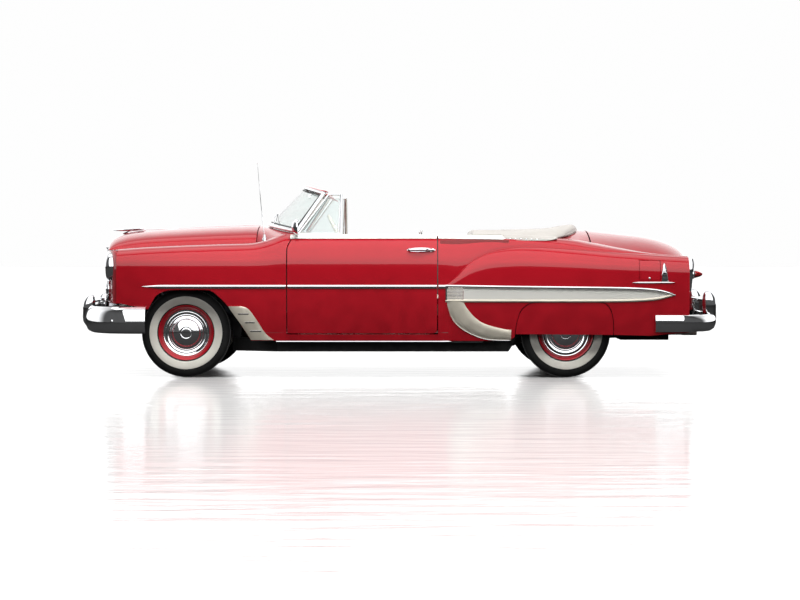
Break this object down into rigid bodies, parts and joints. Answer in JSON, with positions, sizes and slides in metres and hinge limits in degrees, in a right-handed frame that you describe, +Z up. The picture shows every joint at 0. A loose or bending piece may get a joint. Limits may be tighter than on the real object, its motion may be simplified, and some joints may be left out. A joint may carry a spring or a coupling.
{
  "type": "1950s two-door convertible car",
  "caption": "Full-size 1950s two-door convertible with folded top, opening doors, hood, trunk and fuel door, steering and rolling wheels.",
  "frame": {"origin": "centre of the car's footprint box, on the ground", "axes": "+X to the rear of the car, +Y to its right side, +Z up"},
  "size_m": [4.988, 1.9054, 1.6543],
  "materials": {
    "red_paint": "glossy deep red enamel",
    "ivory_paint": "glossy ivory enamel",
    "black_paint": "satin black chassis paint",
    "chrome_trim": "polished bright plating",
    "stainless": "polished stainless steel",
    "ivory_cloth": "ivory coated cloth",
    "seat_vinyl": "ivory vinyl with red panels",
    "dark_trim": "dark grained trim",
    "wheel_plastic": "glossy ivory plastic",
    "clear_glass": "clear laminated glass",
    "lens_red": "red moulded lens",
    "tyre_rubber": "black rubber with wide white sidewall",
    "cast_metal": "cast and machined iron",
    "mirror_glass": "silvered mirror"
  },
  "bodies": {
    "root": {"chassis_frame": "black_paint", "floor_pan": "black_paint", "sills": "red_paint", "cowl": "red_paint", "front_fender_left": "red_paint", "front_fender_right": "red_paint", "rear_quarter_left": "red_paint", "rear_quarter_right": "red_paint", "tail_panel": "red_paint", "nose_panel": "red_paint", "grille": "chrome_trim", "front_bumper": "chrome_trim", "rear_bumper": "chrome_trim", "windshield_frame": "chrome_trim", "windshield_glass": "clear_glass", "front_seat": "seat_vinyl", "rear_seat": "seat_vinyl", "dashboard": "red_paint", "steering_column": "dark_trim", "top_boot": "ivory_cloth", "headlamps": "chrome_trim", "tail_lamps": "lens_red", "rear_axle": "black_paint", "front_suspension": "black_paint", "engine_block": "cast_metal", "radiator": "black_paint", "fuel_tank": "black_paint", "exhaust": "stainless", "fender_skirts": "red_paint", "antenna": "chrome_trim"},
    "hood": {"hood": "red_paint"},
    "trunk_lid": {"trunk_lid": "red_paint"},
    "door_left": {"door_left": "red_paint", "vent_window_left": "chrome_trim", "door_mirror": "chrome_trim"},
    "door_right": {"door_right": "red_paint", "vent_window_right": "chrome_trim"},
    "fuel_door": {"fuel_door": "red_paint"},
    "steering_wheel": {"steering_wheel": "wheel_plastic"},
    "knuckle_left": {"knuckle_left": "cast_metal"},
    "knuckle_right": {"knuckle_right": "cast_metal"},
    "wheel_front_left": {"wheel_front_left": "red_paint", "tyre_front_left": "tyre_rubber"},
    "wheel_front_right": {"wheel_front_right": "red_paint", "tyre_front_right": "tyre_rubber"},
    "wheel_rear_left": {"wheel_rear_left": "red_paint", "tyre_rear_left": "tyre_rubber"},
    "wheel_rear_right": {"wheel_rear_right": "red_paint", "tyre_rear_right": "tyre_rubber"}
  },
  "joints": [
    {"name": "hood_hinge", "type": "hinge", "parent": "root", "child": "hood", "pos_m": [-1.1215, 0, 1.176], "axis": [0, 1, 0], "range_deg": [0, 50]},
    {"name": "trunk_hinge", "type": "hinge", "parent": "root", "child": "trunk_lid", "pos_m": [1.4955, 0, 1.138], "axis": [0, -1, 0], "range_deg": [0, 65]},
    {"name": "door_left_hinge", "type": "hinge", "parent": "root", "child": "door_left", "pos_m": [-0.845, -0.9085, 0.7], "axis": [0, 0, -1], "range_deg": [0, 65]},
    {"name": "door_right_hinge", "type": "hinge", "parent": "root", "child": "door_right", "pos_m": [-0.845, 0.9085, 0.7], "axis": [0, 0, 1], "range_deg": [0, 65]},
    {"name": "fuel_door_hinge", "type": "hinge", "parent": "root", "child": "fuel_door", "pos_m": [1.84, -0.94, 0.827], "axis": [0, 0, -1], "range_deg": [0, 100]},
    {"name": "steer_left", "type": "hinge", "parent": "root", "child": "knuckle_left", "pos_m": [-1.643, -0.64, 0.345], "axis": [0, 0, 1], "range_deg": [-32, 32]},
    {"name": "steer_right", "type": "hinge", "parent": "root", "child": "knuckle_right", "pos_m": [-1.643, 0.64, 0.345], "axis": [0, 0, 1], "range_deg": [-32, 32]},
    {"name": "steering_wheel_turn", "type": "hinge", "parent": "root", "child": "steering_wheel", "pos_m": [-0.464, -0.38, 1.07], "axis": [0.8838, 0, 0.4679], "range_deg": [-640, 640]},
    {"name": "spin_front_left", "type": "hinge", "parent": "knuckle_left", "child": "wheel_front_left", "pos_m": [-1.643, -0.72, 0.345], "axis": [0, -1, 0], "continuous": true},
    {"name": "spin_front_right", "type": "hinge", "parent": "knuckle_right", "child": "wheel_front_right", "pos_m": [-1.643, 0.72, 0.345], "axis": [0, -1, 0], "continuous": true},
    {"name": "spin_rear_left", "type": "hinge", "parent": "root", "child": "wheel_rear_left", "pos_m": [1.278, -0.746, 0.345], "axis": [0, -1, 0], "continuous": true},
    {"name": "spin_rear_right", "type": "hinge", "parent": "root", "child": "wheel_rear_right", "pos_m": [1.278, 0.746, 0.345], "axis": [0, -1, 0], "continuous": true}
  ],
  "couplings": [
    {"joint": "steer_right", "follows": "steer_left", "ratio": 1},
    {"joint": "steering_wheel_turn", "follows": "steer_left", "ratio": 20}
  ]
}
